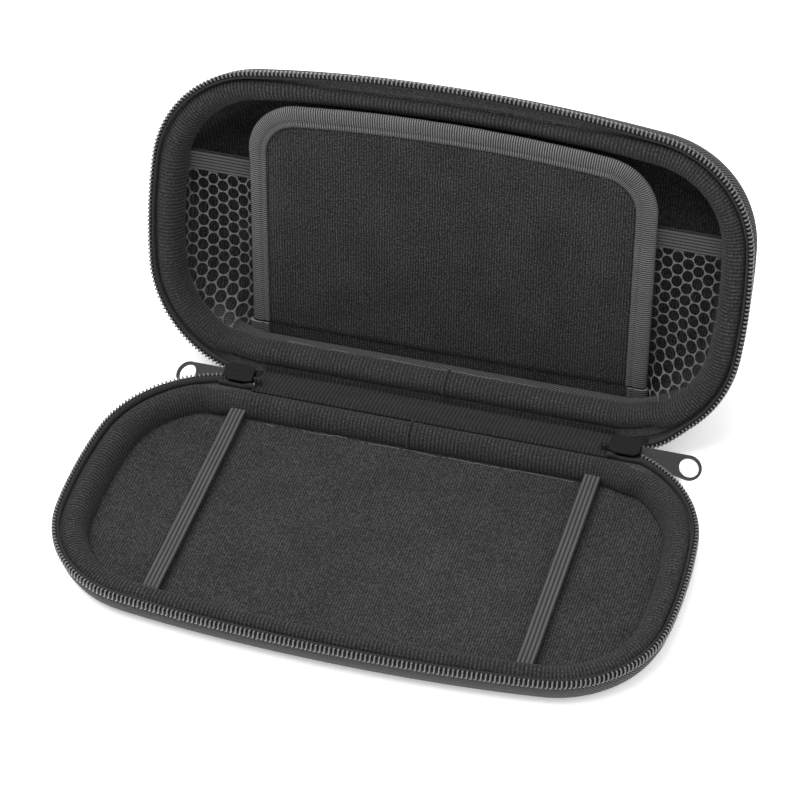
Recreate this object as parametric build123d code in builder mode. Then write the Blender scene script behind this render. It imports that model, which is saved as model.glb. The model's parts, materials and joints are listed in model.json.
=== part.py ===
from build123d import *
import os
from math import acos, atan, atan2, cos, degrees, hypot, radians, sin, sqrt

# Portable game console case, open on a table: base tray in front, lid leaning back on a cloth hinge.
# Millimetres, +X to the right, +Y to the hinge, +Z up; origin on the table under the tray's middle.
# Each half is drawn in its own plane, with local Z the depth from the zip line into that half.

# Zip line in plan: a straight back, a bowed front, bowed ends and four round corners
half_width = 119.0
half_depth = 65.2
front_bow = 598.0
end_bow = 216.0
front_corner = 43.8
back_corner = 47.6

# Heights of the two halves, from the zip line to the outer face
base_height = 14.5
lid_height = 33.5

# Shells and linings
rim_drop = 4.0
shell_wall = 3.2
lining_wall = 1.2
base_edge_radius = 9.0
lid_edge_radius = 8.0
lid_straight = 12.0
lid_side_lean = 10.0
lid_front_lean = 11.0
lid_back_lean = 1.0

# Padded rolls inside the rims
roll_width = 8.3
roll_crest = 1.5
lid_roll_foot = 10.5
roll_outer_round = 3.0
roll_inner_round = 5.0
base_seam_x = -2.0
lid_seam_x = 5.0
seam_gap = 0.3

# Zip: teeth and tape run from slider to slider
teeth_thickness = 2.0
teeth_top = 0.2
teeth_foot = 3.8
teeth_bevel = 0.5
tape_wall = 0.8
tape_top = 0.8
tape_foot = 5.4
lid_zip_room = 7.5

# Cloth hinge
hinge_drop = 6.5
hinge_back = 0.6
hinge_half_length = 68.0
band_wall = 1.0
cover_wall = 0.8
cover_overlap = 1.4

# Elastic straps
strap_x = 71.3
strap_width = 8.0
strap_wall = 1.1
strap_depth = 5.6

# Flap in the lid
flap_half_width = 81.0
flap_foot_y = 48.5
flap_foot_depth = 21.6
flap_lean = 12.0
flap_top_inset = 13.0
flap_corner = 22.0
pad_wall = 2.4
binding_width = 8.0
binding_wall = 0.45
strip_length = 14.0
strip_wall = 1.2
strip_lean = 16.0
fold_gap = 0.1

# Mesh pocket behind the flap
mesh_gap = 1.5
mesh_wall = 0.8
mesh_rise = 63.3
mesh_tail = 14.0
mesh_pitch = 12.4
mesh_thread = 2.2
mesh_margin = 7.6
mesh_columns = 19
mesh_rows = 9
band_width = 8.4
band_thickness = 1.8

# Zip sliders
left_slider_x = -75.0
right_slider_x = 81.0
slider_share = 0.6
slider_length = 12.0
slider_width = 7.2
slider_tail_width = 5.6
slider_nose_width = 4.4
slider_taper = 2.6
slider_plate = 0.9
slider_gap = 2.2
flange_width = 0.7
flange_height = 0.6
post_length = 4.0
post_width = 2.0
bridge_length = 6.4
bridge_width = 1.8
bridge_bar = 1.0
bridge_room = 2.0
bridge_round = 1.2

# Pull tabs
pull_length = 30.0
pull_neck = 4.6
pull_ring = 10.0
pull_hole = 7.8
pull_wall = 1.2
pull_bar = 1.2
pull_window_length = 4.2
pull_window_width = 2.8
pull_tilt = 16.0

clearance = 0.3

# Places across the rim, as insets from the zip line
wall_inset = teeth_thickness / 2 + tape_wall
lining_skin = shell_wall + lining_wall
roll_outer = wall_inset + lining_skin
roll_inner = roll_outer + roll_width

# The hinge axis, and how far the lid falls back before its rear edge meets the table
hinge_y = half_depth + hinge_back
hinge_z = base_height - hinge_drop
back_slope = atan(lid_back_lean / (lid_height - lid_straight))
edge_lean = (lid_height - lid_edge_radius - lid_straight) * lid_back_lean / (lid_height - lid_straight)
edge_y = hinge_back + wall_inset + edge_lean + lid_edge_radius / cos(back_slope)
edge_z = lid_height + hinge_drop - lid_edge_radius
open_angle = degrees(atan2(edge_y, edge_z) + acos((lid_edge_radius - hinge_z) / hypot(edge_y, edge_z)))
lid_cos = cos(radians(open_angle))
lid_sin = sin(radians(open_angle))


def lid_point(y, depth):
    """Side-view place (y, z), in the open pose, of a point of the lid."""
    back = y - hinge_y
    rise = depth + hinge_drop
    return (hinge_y + back * lid_cos + rise * lid_sin, hinge_z - back * lid_sin + rise * lid_cos)


def lid_panel(y, depth, lean):
    """Plane across the lid through a line at a depth, leaning out of the lid, local Y up the panel."""
    tilt = radians(open_angle - lean)
    return Plane(origin=(0, *lid_point(y, depth)), x_dir=(1, 0, 0), z_dir=(0, -sin(tilt), -cos(tilt)))


base_plane = Plane(origin=(0, 0, base_height), x_dir=(-1, 0, 0), z_dir=(0, 0, -1))
lid_plane = Plane(origin=(0, *lid_point(0, 0)), x_dir=(1, 0, 0), z_dir=(0, lid_sin, lid_cos))
flap_plane = lid_panel(flap_foot_y, flap_foot_depth, flap_lean)
strip_plane = lid_panel(flap_foot_y, flap_foot_depth, strip_lean)
mesh_plane = flap_plane.offset(-(pad_wall / 2 + binding_wall + mesh_gap))


def outline(plane, inset, side=0, front=0, back=0):
    """Zip line moved inwards by inset, and further at the sides, front and back."""
    with BuildSketch(plane) as face:
        with Locations((0, front_bow - half_depth + front)):
            Circle(front_bow - inset)
        for hand in (-1, 1):
            with Locations((hand * (end_bow - half_width + side), 0)):
                Circle(end_bow - inset, mode=Mode.INTERSECT)
        with Locations((0, half_depth - inset - back)):
            Rectangle(4 * half_width, 4 * half_depth, align=(Align.CENTER, Align.MAX), mode=Mode.INTERSECT)
        fillet(face.vertices().group_by(Axis.Y)[0], front_corner - inset)
        fillet(face.vertices().group_by(Axis.Y)[-1], back_corner - inset)
    return face.sketch


def column(plane, inset, start, end):
    """Straight-walled solid inside the zip line, between two depths."""
    with BuildPart() as solid:
        add(outline(plane.offset(start), inset))
        extrude(amount=end - start, dir=plane.z_dir)
    return solid.part


def base_block(skin):
    """Base from its rim down, with its outer face moved in by a skin."""
    with BuildPart() as block:
        add(column(base_plane, wall_inset + skin, rim_drop, base_height - skin))
        fillet(block.faces().sort_by(Axis.Z)[0].edges(), base_edge_radius - skin)
    return block.part


def lid_block(skin):
    """Lid from its rim to its top, with its outer face moved in by a skin."""
    inset = wall_inset + skin
    leans = (lid_side_lean, lid_front_lean, lid_back_lean)
    with BuildPart() as block:
        add(column(lid_plane, inset, rim_drop, lid_straight))
        add(outline(lid_plane.offset(lid_straight), inset))
        add(outline(lid_plane.offset(lid_height - skin), inset, *leans))
        loft(ruled=True)
        top = block.faces().sort_by(Axis(lid_plane.origin, lid_plane.z_dir))[-1]
        fillet(top.edges(), lid_edge_radius - skin)
    return block.part


def roll(plane, foot):
    """Padded ring inside a rim, rounded over its crest."""
    depth_axis = Axis(plane.origin, plane.z_dir)
    with BuildPart() as pad:
        add(column(plane, roll_outer, roll_crest, foot))
        add(column(plane, roll_inner, roll_crest, foot), mode=Mode.SUBTRACT)
        crest = pad.faces().sort_by(depth_axis)[0]
        fillet(crest.inner_wires()[0].edges(), roll_inner_round)
        crest = pad.faces().sort_by(depth_axis)[0]
        fillet(crest.outer_wire().edges(), roll_outer_round)
    return pad.part


def back_block(plane, x, half_length):
    """Block through a half at the middle of its back, for seams and the hinge gap."""
    with BuildPart() as block:
        with BuildSketch(plane):
            with Locations((x, half_depth)):
                Rectangle(2 * half_length, half_depth)
        extrude(amount=lid_height, both=True)
    return block.part


def teeth_strip(plane):
    """Strip of coil teeth round the rim, bevelled along its edges."""
    depth_axis = Axis(plane.origin, plane.z_dir)
    with BuildPart() as strip:
        add(column(plane, -teeth_thickness / 2, teeth_top, teeth_foot))
        add(column(plane, teeth_thickness / 2, teeth_top, teeth_foot), mode=Mode.SUBTRACT)
        for end in (0, -1):
            face = strip.faces().sort_by(depth_axis)[end]
            chamfer(face.edges(), teeth_bevel)
    return strip.part


def tape_strip(plane):
    """Woven tape standing on a shell's rim, behind the teeth."""
    with BuildPart() as strip:
        add(column(plane, teeth_thickness / 2, tape_top, tape_foot))
        add(column(plane, wall_inset, tape_top, tape_foot), mode=Mode.SUBTRACT)
    return strip.part


zip_gap_x = (left_slider_x + right_slider_x) / 2
zip_half_gap = (right_slider_x - left_slider_x + slider_length) / 2 + clearance

os.makedirs("parts", exist_ok=True)

# Shells: moulded foam faced with cloth
with BuildPart() as base_shell:
    add(base_block(0))
    add(base_block(shell_wall), mode=Mode.SUBTRACT)
base_shell.part.label = "base_shell"
export_step(base_shell.part, "parts/base_shell.step")

with BuildPart() as lid_shell:
    add(lid_block(0))
    add(lid_block(shell_wall), mode=Mode.SUBTRACT)
lid_shell.part.label = "lid_shell"
export_step(lid_shell.part, "parts/lid_shell.step")

# Linings: brushed knit moulded to the inside of each shell
with BuildPart() as base_lining:
    add(base_block(shell_wall))
    add(base_block(lining_skin), mode=Mode.SUBTRACT)
base_lining.part.label = "base_lining"
export_step(base_lining.part, "parts/base_lining.step")

with BuildPart() as lid_lining:
    add(lid_block(shell_wall))
    add(lid_block(lining_skin), mode=Mode.SUBTRACT)
lid_lining.part.label = "lid_lining"
export_step(lid_lining.part, "parts/lid_lining.step")

# Rolls: padded strips whose ends meet at the back
with BuildPart() as base_roll:
    add(roll(base_plane, base_height - lining_skin))
    foot = base_roll.faces().sort_by(Axis.Z)[0]
    fillet(foot.outer_wire().edges(), base_edge_radius - lining_skin + clearance)
    add(back_block(base_plane, -base_seam_x, seam_gap / 2), mode=Mode.SUBTRACT)
base_roll.part.label = "base_roll"
export_step(base_roll.part, "parts/base_roll.step")

with BuildPart() as lid_roll:
    add(roll(lid_plane, lid_roll_foot))
    add(back_block(lid_plane, lid_seam_x, seam_gap / 2), mode=Mode.SUBTRACT)
lid_roll.part.label = "lid_roll"
export_step(lid_roll.part, "parts/lid_roll.step")

# Zip halves, open at the back for the hinge and the sliders
with BuildPart() as base_zip_tape:
    add(tape_strip(base_plane))
    add(back_block(base_plane, -zip_gap_x, zip_half_gap), mode=Mode.SUBTRACT)
base_zip_tape.part.label = "base_zip_tape"
export_step(base_zip_tape.part, "parts/base_zip_tape.step")

with BuildPart() as lid_zip_tape:
    add(tape_strip(lid_plane))
    add(back_block(lid_plane, zip_gap_x, zip_half_gap + lid_zip_room), mode=Mode.SUBTRACT)
lid_zip_tape.part.label = "lid_zip_tape"
export_step(lid_zip_tape.part, "parts/lid_zip_tape.step")

with BuildPart() as base_zip_teeth:
    add(teeth_strip(base_plane))
    add(back_block(base_plane, -zip_gap_x, zip_half_gap), mode=Mode.SUBTRACT)
base_zip_teeth.part.label = "base_zip_teeth"
export_step(base_zip_teeth.part, "parts/base_zip_teeth.step")

with BuildPart() as lid_zip_teeth:
    add(teeth_strip(lid_plane))
    add(back_block(lid_plane, zip_gap_x, zip_half_gap + lid_zip_room), mode=Mode.SUBTRACT)
lid_zip_teeth.part.label = "lid_zip_teeth"
export_step(lid_zip_teeth.part, "parts/lid_zip_teeth.step")

# Elastic straps, from roll to roll above the tray's floor
for side, hand in (("left", -1), ("right", 1)):
    with BuildPart() as strap:
        with BuildSketch(Plane.XY.offset(base_height - strap_depth)):
            with Locations((hand * strap_x, 0)):
                Rectangle(strap_width, 2 * half_depth)
        extrude(amount=-strap_wall)
        add(column(base_plane, roll_inner, 0, base_height), mode=Mode.INTERSECT)
    strap.part.label = f"{side}_strap"
    export_step(strap.part, f"parts/{side}_strap.step")

# Cloth hinge: a knit band over both rims inside, a woven cover outside
outer_y = half_depth - wall_inset
inner_y = outer_y - shell_wall
rim_z = base_height - rim_drop
with BuildPart() as hinge_band:
    with BuildSketch(Plane.YZ):
        with BuildLine():
            Polyline((inner_y, rim_z), (outer_y, rim_z), lid_point(outer_y, rim_drop),
                     lid_point(inner_y, rim_drop))
            offset(amount=band_wall, side=Side.LEFT, kind=Kind.INTERSECTION)
        make_face()
    extrude(amount=hinge_half_length, both=True)
hinge_band.part.label = "hinge_band"
export_step(hinge_band.part, "parts/hinge_band.step")

with BuildPart() as hinge_cover:
    with BuildSketch(Plane.YZ):
        with BuildLine():
            Polyline((outer_y, rim_z - cover_overlap), (outer_y, rim_z), lid_point(outer_y, rim_drop),
                     lid_point(outer_y, rim_drop + cover_overlap))
            offset(amount=cover_wall, side=Side.RIGHT, kind=Kind.INTERSECTION)
        make_face()
    extrude(amount=hinge_half_length, both=True)
hinge_cover.part.label = "hinge_cover"
export_step(hinge_cover.part, "parts/hinge_cover.step")

# Flap: a padded panel bound in tape, sewn into the lid by a thin strip
flap_rise = (flap_foot_y + half_depth - flap_top_inset) / cos(radians(flap_lean))


def flap_outline(grow):
    """Flap face with its sides and top moved out by grow."""
    bow = front_bow - flap_top_inset + grow
    with BuildSketch(flap_plane) as face:
        with Locations((0, flap_rise + grow - bow)):
            Circle(bow)
        Rectangle(2 * (flap_half_width + grow), 2 * flap_rise, align=(Align.CENTER, Align.MIN),
                  mode=Mode.INTERSECT)
        fillet(face.vertices().group_by(Axis.Y)[-1], flap_corner + grow)
    return face.sketch


with BuildPart() as flap_pad:
    add(flap_outline(-binding_wall))
    extrude(amount=pad_wall / 2, both=True, dir=flap_plane.z_dir)
flap_pad.part.label = "flap_pad"
export_step(flap_pad.part, "parts/flap_pad.step")

with BuildPart() as flap_binding:
    add(flap_outline(0))
    extrude(amount=pad_wall / 2 + binding_wall, both=True, dir=flap_plane.z_dir)
    add(flap_pad.part, mode=Mode.SUBTRACT)
    add(flap_outline(-binding_width))
    extrude(amount=pad_wall, both=True, dir=flap_plane.z_dir, mode=Mode.SUBTRACT)
flap_binding.part.label = "flap_binding"
export_step(flap_binding.part, "parts/flap_binding.step")

with BuildPart() as flap_strip:
    with BuildSketch(strip_plane.offset(-strip_wall / 2)):
        with Locations((0, -fold_gap)):
            Rectangle(2 * flap_half_width, strip_length, align=(Align.CENTER, Align.MAX))
    extrude(amount=strip_wall)
    add(lid_block(lining_skin), mode=Mode.INTERSECT)
flap_strip.part.label = "flap_strip"
export_step(flap_strip.part, "parts/flap_strip.step")

# Mesh pocket: a hexagonal net behind the flap, with an elastic band along its mouth
with BuildPart() as mesh_panel:
    with BuildSketch(mesh_plane):
        with Locations((0, mesh_rise)):
            Rectangle(2 * half_width, mesh_rise + mesh_tail, align=(Align.CENTER, Align.MAX))
    extrude(amount=-mesh_wall)
    add(lid_block(lining_skin), mode=Mode.INTERSECT)
    net = mesh_panel.faces().sort_by(SortBy.AREA)[-1]
    middle = Vector(0, (mesh_rise - mesh_tail) / 2)
    with BuildSketch(mesh_plane):
        for cell in HexLocations(mesh_pitch / 2, mesh_columns, mesh_rows).local_locations:
            spot = cell.position + middle
            place = mesh_plane.from_local_coords(spot)
            if net.distance_to(place) < mesh_thread / 2 and net.outer_wire().distance_to(place) > mesh_margin:
                with Locations(spot):
                    RegularPolygon((mesh_pitch - mesh_thread) / sqrt(3), 6, rotation=30)
    extrude(amount=-mesh_wall, mode=Mode.SUBTRACT)
mesh_panel.part.label = "mesh_panel"
export_step(mesh_panel.part, "parts/mesh_panel.step")

with BuildPart() as mesh_band:
    with BuildSketch(mesh_plane.offset(band_thickness / 2 - mesh_wall / 2)):
        with Locations((0, mesh_rise)):
            Rectangle(2 * half_width, band_width, align=(Align.CENTER, Align.MIN))
    extrude(amount=-band_thickness)
    add(column(lid_plane, roll_inner, 0, lid_height), mode=Mode.INTERSECT)
mesh_band.part.label = "mesh_band"
export_step(mesh_band.part, "parts/mesh_band.step")

# Zip sliders, parked at the ends of the zip, turned part of the way with the lid
corner_x = sqrt((end_bow - back_corner) ** 2 - (half_depth - back_corner) ** 2) - (end_bow - half_width)
slider_turn = radians(slider_share * open_angle)
outward = Vector(0, cos(slider_turn), -sin(slider_turn))
across = Vector(0, sin(slider_turn), cos(slider_turn))
plate_face = slider_gap / 2 + slider_plate
pull_pivot = plate_face + bridge_room / 2

for side, slider_x in (("left", left_slider_x), ("right", right_slider_x)):
    slider_y = half_depth - back_corner + sqrt(back_corner ** 2 - (abs(slider_x) - corner_x) ** 2)
    centre = Vector(slider_x, slider_y, base_height)
    along = Vector(slider_x / abs(slider_x), 0, 0)
    slider_plane = Plane(origin=centre, x_dir=along, z_dir=outward)
    bridge_plane = Plane(origin=centre, x_dir=along, z_dir=along.cross(outward))
    with BuildPart() as slider:
        for level in (slider_gap / 2, -plate_face):
            with BuildSketch(slider_plane.offset(level)):
                with BuildLine():
                    end = slider_length / 2
                    shoulder = end - slider_taper
                    Polyline((-end, slider_tail_width / 2), (-shoulder, slider_width / 2),
                             (shoulder, slider_width / 2), (end, slider_nose_width / 2),
                             (end, -slider_nose_width / 2), (shoulder, -slider_width / 2),
                             (-shoulder, -slider_width / 2), (-end, -slider_tail_width / 2), close=True)
                make_face()
            extrude(amount=slider_plate)
        for level in (slider_gap / 2 - flange_height, -slider_gap / 2):
            with BuildSketch(slider_plane.offset(level)):
                with GridLocations(0, slider_width - flange_width, 1, 2):
                    Rectangle(2 * shoulder, flange_width)
            extrude(amount=flange_height)
        with BuildSketch(slider_plane.offset(-slider_gap / 2)):
            with Locations((shoulder - post_length / 2, 0)):
                Ellipse(post_length / 2, post_width / 2)
        extrude(amount=slider_gap)
        with BuildSketch(bridge_plane) as arch:
            with Locations((0, plate_face)):
                Rectangle(bridge_length, bridge_room + bridge_bar, align=(Align.CENTER, Align.MIN))
            fillet(arch.vertices().group_by(Axis.Y)[-1], bridge_round)
            with Locations((0, plate_face)):
                Rectangle(bridge_length - 2 * bridge_bar, bridge_room, align=(Align.CENTER, Align.MIN),
                          mode=Mode.SUBTRACT)
        extrude(amount=bridge_width / 2, both=True)
    slider.part.label = f"{side}_slider"
    export_step(slider.part, f"parts/{side}_slider.step")

    # Pull tab: a stamped teardrop whose end bar lies under the slider's bridge
    tilt = radians(pull_tilt)
    reach = along * cos(tilt) + outward * sin(tilt)
    facing = outward * cos(tilt) - along * sin(tilt)
    pull_plane = Plane(origin=centre + outward * pull_pivot, x_dir=reach, z_dir=facing)
    with BuildPart() as pull:
        with BuildSketch(pull_plane):
            with Locations((pull_length - pull_ring / 2, 0)):
                Circle(pull_ring / 2)
            with Locations((-pull_bar / 2, 0)):
                Rectangle(pull_window_length + 2 * pull_bar, pull_neck, align=(Align.MIN, Align.CENTER))
            make_hull()
            with Locations((pull_length - pull_ring / 2, 0)):
                Circle(pull_hole / 2, mode=Mode.SUBTRACT)
            with Locations((pull_bar / 2, 0)):
                Rectangle(pull_window_length, pull_window_width, align=(Align.MIN, Align.CENTER),
                          mode=Mode.SUBTRACT)
        extrude(amount=pull_wall / 2, both=True)
    pull.part.label = f"{side}_pull"
    export_step(pull.part, f"parts/{side}_pull.step")
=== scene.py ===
import json
import math

import bpy
import numpy as np
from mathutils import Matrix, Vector, noise


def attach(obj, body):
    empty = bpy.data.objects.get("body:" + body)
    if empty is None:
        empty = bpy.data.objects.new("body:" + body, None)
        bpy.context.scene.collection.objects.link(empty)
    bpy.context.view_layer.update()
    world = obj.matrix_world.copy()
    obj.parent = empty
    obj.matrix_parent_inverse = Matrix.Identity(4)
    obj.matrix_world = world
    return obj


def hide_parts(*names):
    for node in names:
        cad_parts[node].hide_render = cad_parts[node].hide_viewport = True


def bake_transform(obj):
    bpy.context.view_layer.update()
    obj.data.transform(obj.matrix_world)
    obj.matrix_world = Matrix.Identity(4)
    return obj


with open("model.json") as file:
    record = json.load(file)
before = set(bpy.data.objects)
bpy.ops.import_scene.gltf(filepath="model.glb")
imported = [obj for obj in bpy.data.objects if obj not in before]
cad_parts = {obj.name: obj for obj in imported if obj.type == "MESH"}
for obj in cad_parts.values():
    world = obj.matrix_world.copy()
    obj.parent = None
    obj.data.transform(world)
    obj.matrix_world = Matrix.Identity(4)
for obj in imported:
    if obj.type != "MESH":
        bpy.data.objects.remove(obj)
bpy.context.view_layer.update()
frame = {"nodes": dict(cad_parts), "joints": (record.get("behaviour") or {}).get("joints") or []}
mm = 0.001
nodes = frame["nodes"]
rng = np.random.default_rng(7)
print("frame loaded:", len(nodes), "nodes")

# The case's own lines, in millimetres, as the solids have them
caseForm = {
    "halfWidth": 119.0, "halfDepth": 65.2, "frontBow": 598.0, "endBow": 216.0,
    "frontCorner": 43.8, "backCorner": 47.6, "baseHeight": 14.5, "hingeDrop": 6.5,
}
lidJoint = next(j for j in frame["joints"] if j["name"] == "lid_hinge")
hingeY, hingeZ = (v / mm for v in lidJoint["pos_m"][1:])
openAngle = -math.radians(lidJoint["range_deg"][0])


def inBase(x, y, depth):
    # depth runs down from the zip line
    return np.stack(np.broadcast_arrays(x, y, caseForm["baseHeight"] - depth), -1) * mm


def inLid(x, y, depth):
    # the closed lid's y and depth, turned back about the hinge
    back, rise = y - hingeY, depth + caseForm["hingeDrop"]
    turnedY = hingeY + back * math.cos(openAngle) + rise * math.sin(openAngle)
    turnedZ = hingeZ - back * math.sin(openAngle) + rise * math.cos(openAngle)
    return np.stack(np.broadcast_arrays(x, turnedY, turnedZ), -1) * mm


def rimArcs():
    # half the back's straight run, and the four arcs from there to the middle of the front
    f = caseForm
    endX, bowY = f["halfWidth"] - f["endBow"], f["frontBow"] - f["halfDepth"]
    backY = f["halfDepth"] - f["backCorner"]
    backX = endX + math.sqrt((f["endBow"] - f["backCorner"]) ** 2 - backY ** 2)
    reachEnd, reachBow = f["endBow"] - f["frontCorner"], f["frontBow"] - f["frontCorner"]
    gap = math.hypot(endX, bowY)
    along = (reachEnd ** 2 - reachBow ** 2 + gap ** 2) / (2 * gap)
    side = math.sqrt(reachEnd ** 2 - along ** 2)
    frontX = endX + (-endX * along + bowY * side) / gap
    frontY = (bowY * along + endX * side) / gap
    first, second = math.atan2(backY, backX - endX), math.atan2(frontY, frontX - endX)
    third = math.atan2(frontY - bowY, frontX)
    arcs = [(backX, backY, f["backCorner"], math.pi / 2, first), (endX, 0, f["endBow"], first, second),
            (frontX, frontY, f["frontCorner"], second, third), (0, bowY, f["frontBow"], third, -math.pi / 2)]
    return backX, arcs


backStraight, arcs = rimArcs()
rimHalf = backStraight + sum(r * (a - b) for _, _, r, a, b in arcs)
rimLength = 2 * rimHalf


def rimAt(s):
    # place and outward normal on the zip line, s millimetres from the middle of the back
    s = np.asarray(s, float) % rimLength
    left = s > rimHalf
    t = np.where(left, rimLength - s, s)
    x, y, angle = t.copy(), np.full_like(t, caseForm["halfDepth"]), np.full_like(t, math.pi / 2)
    start = backStraight
    for cx, cy, radius, first, last in arcs:
        hit = t >= start
        angle[hit] = np.maximum(first - (t[hit] - start) / radius, last)
        x[hit], y[hit] = cx + radius * np.cos(angle[hit]), cy + radius * np.sin(angle[hit])
        start += radius * (first - last)
    hand = np.where(left, -1.0, 1.0)
    return x * hand, y, np.cos(angle) * hand, np.sin(angle)


def rimStation(x):
    # s of the place on a back corner that has this x
    cx, _, radius, _, _ = arcs[0]
    s = cx + radius * (math.pi / 2 - math.acos((abs(x) - cx) / radius))
    return s if x > 0 else rimLength - s


def hump(s, middle, reach, power=2):
    # 1 at the middle, dying away over the reach to each side
    return np.exp(-((s - middle) / reach) ** power)


giveForm = {"base": 1.3, "lid": -0.4, "reach": 78.0}


def frontGive(s, body):
    # the soft front edge gives inward in the middle
    return giveForm[body] * hump(np.asarray(s), rimHalf, giveForm["reach"])[:, None]


def smoothNoise(s, scale, seed):
    # slow unevenness along a seam, the same on every run
    return np.array([noise.noise(Vector((v / scale, seed, 0.37))) for v in np.asarray(s, float)])


def clothNoise(a, b, scaleA, scaleB, seed):
    # the same over a cloth, from places in millimetres
    a, b = np.broadcast_arrays(a, b)
    spots = zip(a.ravel() / scaleA, b.ravel() / scaleB)
    return np.array([noise.noise(Vector((p, q, seed))) for p, q in spots]).reshape(a.shape)


def linkMesh(name, places, faces):
    mesh = bpy.data.meshes.new(name)
    mesh.from_pydata(places.reshape(-1, 3).tolist(), [], faces)
    mesh.polygons.foreach_set("use_smooth", [True] * len(mesh.polygons))
    piece = bpy.data.objects.new(name, mesh)
    bpy.context.scene.collection.objects.link(piece)
    return piece


def clothMesh(name, grid, along, across, closeAlong=False, closeAcross=False, flip=False, caps=False):
    # quads over a grid of points, with a UV map in millimetres along and across the cloth
    n, m = grid.shape[:2]
    i = np.arange(n if closeAlong else n - 1)[:, None]
    j = np.arange(m if closeAcross else m - 1)[None, :]
    i, j = (v.ravel() for v in np.broadcast_arrays(i, j))
    ii, jj = (i + 1) % n, (j + 1) % m
    corners = [(i, j, i, j), (ii, j, i + 1, j), (ii, jj, i + 1, j + 1), (i, jj, i, j + 1)]
    if flip:
        corners = corners[::-1]
    faces = np.stack([a * m + b for a, b, _, _ in corners], 1).tolist()
    along, across = np.asarray(along), np.asarray(across)
    uv = np.stack([np.stack([along[c], across[d]], -1) for _, _, c, d in corners], 1).reshape(-1, 2)
    if caps:
        first, last = list(range(m)), [(n - 1) * m + k for k in range(m)]
        faces += [first[::-1], last] if not flip else [first, last[::-1]]
        uv = np.concatenate([uv, np.zeros((2 * m, 2))])
    piece = linkMesh(name, grid, faces)
    piece.data.uv_layers.new(name="cloth").data.foreach_set("uv", uv.astype(np.float32).ravel())
    return piece


def lengthRound(profile):
    # millimetres round a closed profile, up to each point and back to the first
    loop = profile + profile[:1]
    return np.concatenate([[0], np.cumsum([math.dist(a, b) for a, b in zip(loop, loop[1:])])])


def sweepRim(name, place, s, profile, lift=None, closeAlong=False):
    # a closed profile of (inset, depth) points carried along the zip line
    x, y, nx, ny = (v[:, None] for v in rimAt(s))
    inset, depth = (np.asarray(v, float)[None, :] for v in zip(*profile))
    if lift is not None:
        inset, depth = inset + lift[0], depth + lift[1]
    grid = place(x - nx * inset, y - ny * inset, depth)
    along = np.append(s, s[-1] + (s[1] - s[0]))
    return clothMesh(name, grid, along, lengthRound(profile), closeAlong, True, place is inLid, not closeAlong)


def profileNormals(profile):
    # unit normals out of a closed profile, in its own (inset, depth) plane
    p = np.asarray(profile, float)
    t = np.roll(p, -1, 0) - np.roll(p, 1, 0)
    t /= np.linalg.norm(t, axis=1)[:, None]
    return np.stack([t[:, 1], -t[:, 0]], 1)


def faceOutward(piece, fillHoles=False):
    # normals out of the piece, after its open ends are closed if asked
    bpy.ops.object.select_all(action="DESELECT")
    bpy.context.view_layer.objects.active = piece
    piece.select_set(True)
    bpy.ops.object.mode_set(mode="EDIT")
    if fillHoles:
        bpy.ops.mesh.select_all(action="DESELECT")
        bpy.ops.mesh.select_non_manifold()
        bpy.ops.mesh.edge_face_add()
    bpy.ops.mesh.select_all(action="SELECT")
    bpy.ops.mesh.normals_make_consistent(inside=False)
    bpy.ops.object.mode_set(mode="OBJECT")


def smoothStep(v):
    # 0 to 1 with level ends
    v = np.clip(v, 0, 1)
    return v * v * (3 - 2 * v)


def finishPiece(piece, body, material, slot, *replaced):
    piece.data.materials.append(material)
    if body:
        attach(piece, body)
    if replaced:
        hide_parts(*replaced)
    return piece


def fromHex(text):
    # sRGB hex to linear
    parts = [int(text[k:k + 2], 16) / 255 for k in (1, 3, 5)]
    return [v / 12.92 if v <= 0.04045 else ((v + 0.055) / 1.055) ** 2.4 for v in parts] + [1.0]


def addNode(tree, kind, settings=None, links=None):
    node = tree.nodes.new(kind)
    for key, value in (settings or {}).items():
        if isinstance(key, int) or key in node.inputs:
            node.inputs[key].default_value = value
        else:
            setattr(node, key, value)
    for key, (source, socket) in (links or {}).items():
        tree.links.new(source.outputs[socket], node.inputs[key])
    return node


def startMaterial(name, settings, useUv):
    # an empty material whose coordinates come in millimetres
    material = bpy.data.materials.new(name)
    material.use_nodes = True
    tree = material.node_tree
    shader = tree.nodes["Principled BSDF"]
    for key, value in settings.items():
        shader.inputs[key].default_value = value
    if useUv:
        place = addNode(tree, "ShaderNodeUVMap", {"uv_map": "cloth"})
        return material, tree, shader, (place, "UV")
    coords = addNode(tree, "ShaderNodeTexCoord")
    place = addNode(tree, "ShaderNodeMapping", {"Scale": (1 / mm, 1 / mm, 1 / mm)}, {"Vector": (coords, "Object")})
    return material, tree, shader, (place, "Vector")


def waveOf(tree, source, pitch):
    # 0 in the groove to 1 on the ridge, once every pitch
    scaled = addNode(tree, "ShaderNodeMath", {"operation": "MULTIPLY", 1: 2 * math.pi / pitch}, {0: source})
    turned = addNode(tree, "ShaderNodeMath", {"operation": "COSINE"}, {0: (scaled, 0)})
    return addNode(tree, "ShaderNodeMath", {"operation": "MULTIPLY_ADD", 1: 0.5, 2: 0.5}, {0: (turned, 0)}), 0


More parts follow.
